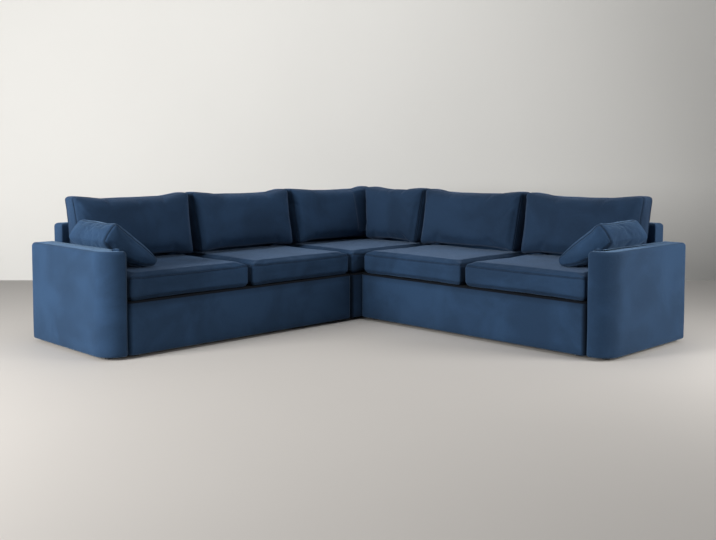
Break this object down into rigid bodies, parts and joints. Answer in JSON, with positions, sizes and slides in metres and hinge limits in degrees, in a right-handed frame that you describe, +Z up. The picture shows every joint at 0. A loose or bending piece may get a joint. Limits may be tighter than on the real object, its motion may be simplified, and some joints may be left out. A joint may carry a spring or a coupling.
{
  "type": "corner sofa",
  "caption": "L-shaped corner sofa in upholstered sections with slab arms, a plinth base on low feet, loose seat and back cushions and a small cushion on each arm.",
  "frame": {"origin": "on the floor, at the centre of the sofa's overall plan rectangle", "axes": "+Z up; the back corner is at -X, +Y; the left wing runs along Y and faces +X, the right wing runs along X and faces -Y"},
  "size_m": [2.776, 2.8, 0.8782],
  "materials": {
    "blue_fabric": "matte",
    "cushion_filling": "matte",
    "timber": "matte",
    "webbing": "matte",
    "dust_cloth": "matte",
    "foot_plastic": "satin",
    "zinc_steel": "satin"
  },
  "bodies": {
    "frame": {"arm_bolts": "zinc_steel", "corner_back_cover": "blue_fabric", "corner_back_frame": "timber", "corner_base_cover": "blue_fabric", "corner_bend_back_cover": "blue_fabric", "corner_blocks": "timber", "corner_deck_pad": "cushion_filling", "corner_front_rail": "timber", "corner_rear_rail": "timber", "corner_seat_webbing": "webbing", "corner_side_back_cover": "blue_fabric", "corner_side_rails": "timber", "dust_covers": "dust_cloth", "feet": "foot_plastic", "foot_screws": "zinc_steel", "left_arm_cover": "blue_fabric", "left_arm_frame": "timber", "left_back_cover": "blue_fabric", "left_back_frame": "timber", "left_base_cover": "blue_fabric", "left_deck_pad": "cushion_filling", "left_front_rail": "timber", "left_rear_rail": "timber", "left_seat_webbing": "webbing", "left_side_rails": "timber", "link_plates": "zinc_steel", "link_screws": "zinc_steel", "right_arm_cover": "blue_fabric", "right_arm_frame": "timber", "right_back_cover": "blue_fabric", "right_back_frame": "timber", "right_base_cover": "blue_fabric", "right_deck_pad": "cushion_filling", "right_front_rail": "timber", "right_rear_rail": "timber", "right_seat_webbing": "webbing", "right_side_rails": "timber"},
    "seat_corner": {"seat_cover_corner": "blue_fabric", "seat_core_corner": "cushion_filling"},
    "seat_left_middle": {"seat_cover_left_middle": "blue_fabric", "seat_core_left_middle": "cushion_filling"},
    "seat_left_outer": {"seat_cover_left_outer": "blue_fabric", "seat_core_left_outer": "cushion_filling"},
    "seat_right_middle": {"seat_cover_right_middle": "blue_fabric", "seat_core_right_middle": "cushion_filling"},
    "seat_right_outer": {"seat_cover_right_outer": "blue_fabric", "seat_core_right_outer": "cushion_filling"},
    "back_corner_left": {"back_cover_corner_left": "blue_fabric", "back_core_corner_left": "cushion_filling"},
    "back_corner_right": {"back_cover_corner_right": "blue_fabric", "back_core_corner_right": "cushion_filling"},
    "back_left_middle": {"back_cover_left_middle": "blue_fabric", "back_core_left_middle": "cushion_filling"},
    "back_left_outer": {"back_cover_left_outer": "blue_fabric", "back_core_left_outer": "cushion_filling"},
    "back_right_middle": {"back_cover_right_middle": "blue_fabric", "back_core_right_middle": "cushion_filling"},
    "back_right_outer": {"back_cover_right_outer": "blue_fabric", "back_core_right_outer": "cushion_filling"},
    "arm_pillow_left": {"arm_cushion_left": "blue_fabric"},
    "arm_pillow_right": {"arm_cushion_right": "blue_fabric"}
  },
  "joints": [
    {"name": "lift_seat_corner", "type": "slide", "parent": "frame", "child": "seat_corner", "axis": [0, 0, 1], "range_m": [0, 0.2]},
    {"name": "lift_seat_left_middle", "type": "slide", "parent": "frame", "child": "seat_left_middle", "axis": [0, 0, 1], "range_m": [0, 0.2]},
    {"name": "lift_seat_left_outer", "type": "slide", "parent": "frame", "child": "seat_left_outer", "axis": [0, 0, 1], "range_m": [0, 0.2]},
    {"name": "lift_seat_right_middle", "type": "slide", "parent": "frame", "child": "seat_right_middle", "axis": [0, 0, 1], "range_m": [0, 0.2]},
    {"name": "lift_seat_right_outer", "type": "slide", "parent": "frame", "child": "seat_right_outer", "axis": [0, 0, 1], "range_m": [0, 0.2]},
    {"name": "lift_back_corner_left", "type": "slide", "parent": "seat_corner", "child": "back_corner_left", "axis": [0, 0, 1], "range_m": [0, 0.3]},
    {"name": "lift_back_corner_right", "type": "slide", "parent": "back_corner_left", "child": "back_corner_right", "axis": [0, 0, 1], "range_m": [0, 0.3]},
    {"name": "lift_back_left_middle", "type": "slide", "parent": "seat_left_middle", "child": "back_left_middle", "axis": [0, 0, 1], "range_m": [0, 0.3]},
    {"name": "lift_back_left_outer", "type": "slide", "parent": "seat_left_outer", "child": "back_left_outer", "axis": [0, 0, 1], "range_m": [0, 0.3]},
    {"name": "lift_back_right_middle", "type": "slide", "parent": "seat_right_middle", "child": "back_right_middle", "axis": [0, 0, 1], "range_m": [0, 0.3]},
    {"name": "lift_back_right_outer", "type": "slide", "parent": "seat_right_outer", "child": "back_right_outer", "axis": [0, 0, 1], "range_m": [0, 0.3]},
    {"name": "lift_arm_pillow_left", "type": "slide", "parent": "back_left_outer", "child": "arm_pillow_left", "axis": [0, 0, 1], "range_m": [0, 0.25]},
    {"name": "lift_arm_pillow_right", "type": "slide", "parent": "back_right_outer", "child": "arm_pillow_right", "axis": [0, 0, 1], "range_m": [0, 0.25]}
  ]
}
